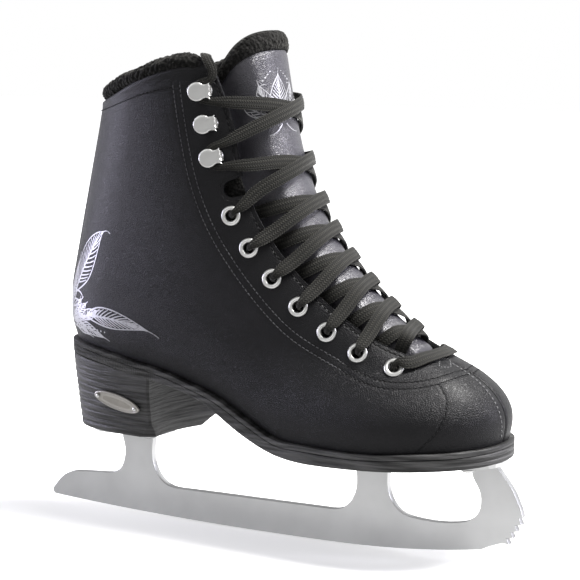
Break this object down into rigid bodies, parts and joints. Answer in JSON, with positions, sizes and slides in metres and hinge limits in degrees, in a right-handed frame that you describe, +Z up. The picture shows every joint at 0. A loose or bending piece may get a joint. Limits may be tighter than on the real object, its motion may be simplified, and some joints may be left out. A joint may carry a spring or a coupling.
{
  "type": "figure skate",
  "caption": "High lace-up leather skating boot with a plush lining and a stacked heel, on a screwed-on steel blade with a toothed toe pick.",
  "frame": {"origin": "a point on the short flat of the blade's edge, where the skate stands on the ice", "axes": "+X to the toe, along the foot, +Y to the inner side of the foot, +Z up"},
  "size_m": [0.2761, 0.0879, 0.2543],
  "materials": {
    "black_leather": "fine-grained, semi-matt, with a soft bluish sheen",
    "black_plush": "short curled pile",
    "black_lace": "flat braid",
    "black_sole": "satin, waxed edge",
    "charcoal_heel_stack": "layered, with ridges",
    "stiffener_board": "pressed fibre and cork",
    "brushed_steel": "satin sides, polished edge",
    "satin_nickel": "satin nickel plate",
    "clear_black_tip": "smooth film over the braid"
  },
  "bodies": {
    "boot": {"upper_outer": "black_leather", "upper_inner": "black_leather", "facing_outer": "black_leather", "facing_inner": "black_leather", "backstay": "black_leather", "lining_outer": "black_plush", "lining_inner": "black_plush", "collar_roll": "black_plush", "footbed": "black_plush", "heel_counter": "stiffener_board", "toe_box": "stiffener_board", "insole_board": "stiffener_board", "cork_filler": "stiffener_board", "welt": "black_sole", "outsole": "black_sole", "heel_stack": "charcoal_heel_stack", "blade_runner": "brushed_steel", "sole_plate": "brushed_steel", "heel_plate": "brushed_steel", "shank": "brushed_steel", "sole_screw_1": "brushed_steel", "sole_screw_2": "brushed_steel", "sole_screw_3": "brushed_steel", "sole_screw_4": "brushed_steel", "sole_screw_5": "brushed_steel", "sole_screw_6": "brushed_steel", "heel_screw_1": "brushed_steel", "heel_screw_2": "brushed_steel", "heel_screw_3": "brushed_steel", "heel_screw_4": "brushed_steel", "heel_badge": "satin_nickel", "badge_pin_rear": "satin_nickel", "badge_pin_front": "satin_nickel", "eyelet_outer_1": "satin_nickel", "eyelet_outer_2": "satin_nickel", "eyelet_outer_3": "satin_nickel", "eyelet_outer_4": "satin_nickel", "eyelet_outer_5": "satin_nickel", "eyelet_outer_6": "satin_nickel", "eyelet_outer_7": "satin_nickel", "eyelet_inner_1": "satin_nickel", "eyelet_inner_2": "satin_nickel", "eyelet_inner_3": "satin_nickel", "eyelet_inner_4": "satin_nickel", "eyelet_inner_5": "satin_nickel", "eyelet_inner_6": "satin_nickel", "eyelet_inner_7": "satin_nickel", "hook_outer_1": "satin_nickel", "hook_outer_2": "satin_nickel", "hook_outer_3": "satin_nickel", "hook_inner_1": "satin_nickel", "hook_inner_2": "satin_nickel", "hook_inner_3": "satin_nickel", "lace": "black_lace", "aglet_outer": "clear_black_tip", "aglet_inner": "clear_black_tip"},
    "tongue": {"tongue_shell": "black_leather", "tongue_pile": "black_plush"}
  },
  "joints": [
    {"name": "tongue_hinge", "type": "hinge", "parent": "boot", "child": "tongue", "pos_m": [0.1013, 0, 0.0914], "axis": [0, 1, 0], "range_deg": [-4, 0], "stiffness_Nm_per_rad": 1, "deforming": ["lace"]}
  ]
}
